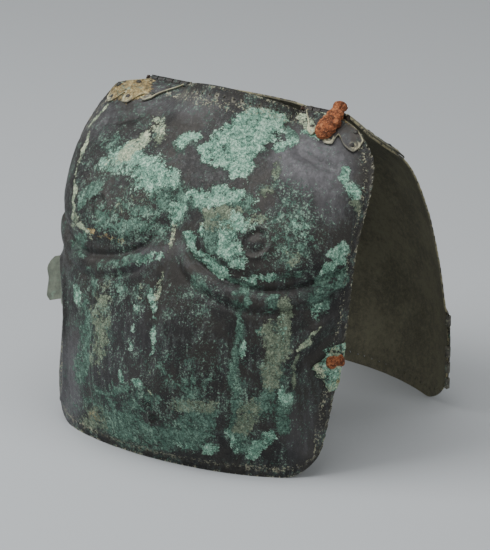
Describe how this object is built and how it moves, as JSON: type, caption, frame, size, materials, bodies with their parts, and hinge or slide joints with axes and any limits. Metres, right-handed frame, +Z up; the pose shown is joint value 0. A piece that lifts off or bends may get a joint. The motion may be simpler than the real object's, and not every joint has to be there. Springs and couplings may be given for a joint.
{
  "type": "bronze muscle cuirass",
  "caption": "Two-part body armour of thin beaten bronze, shaped like a muscled torso and hinged over the shoulders, standing open on its lower edges.",
  "frame": {"origin": "middle of the footprint, on the ground it stands on", "axes": "+X to the wearer's left, the breast plate on the -Y side, +Z up; the shoulder hinges turn about a line along X"},
  "size_m": [0.3646, 0.354, 0.353],
  "materials": {
    "bronze_sheet": "dark tarnished bronze with green patina",
    "bronze_fittings": "dull grey-brown bronze",
    "rusted_iron": "rough rust"
  },
  "bodies": {
    "breast": {"front_plate": "bronze_sheet", "shoulder_leaf_front_left": "bronze_fittings", "shoulder_leaf_front_right": "bronze_fittings", "shoulder_pin_left": "rusted_iron", "shoulder_pin_right": "rusted_iron", "shoulder_iron_left": "rusted_iron", "side_leaf_front_left": "bronze_fittings", "side_leaf_front_right": "bronze_fittings", "side_iron_front_left": "rusted_iron"},
    "back": {"back_plate": "bronze_sheet", "shoulder_leaf_back_left": "bronze_fittings", "shoulder_leaf_back_right": "bronze_fittings", "side_leaf_back_left": "bronze_fittings", "side_leaf_back_right": "bronze_fittings"}
  },
  "joints": [
    {"name": "shoulder_hinge", "type": "hinge", "parent": "breast", "child": "back", "pos_m": [0.00147, 0.00508, 0.326], "axis": [1, 0, 0], "range_deg": [-32, 50]}
  ]
}
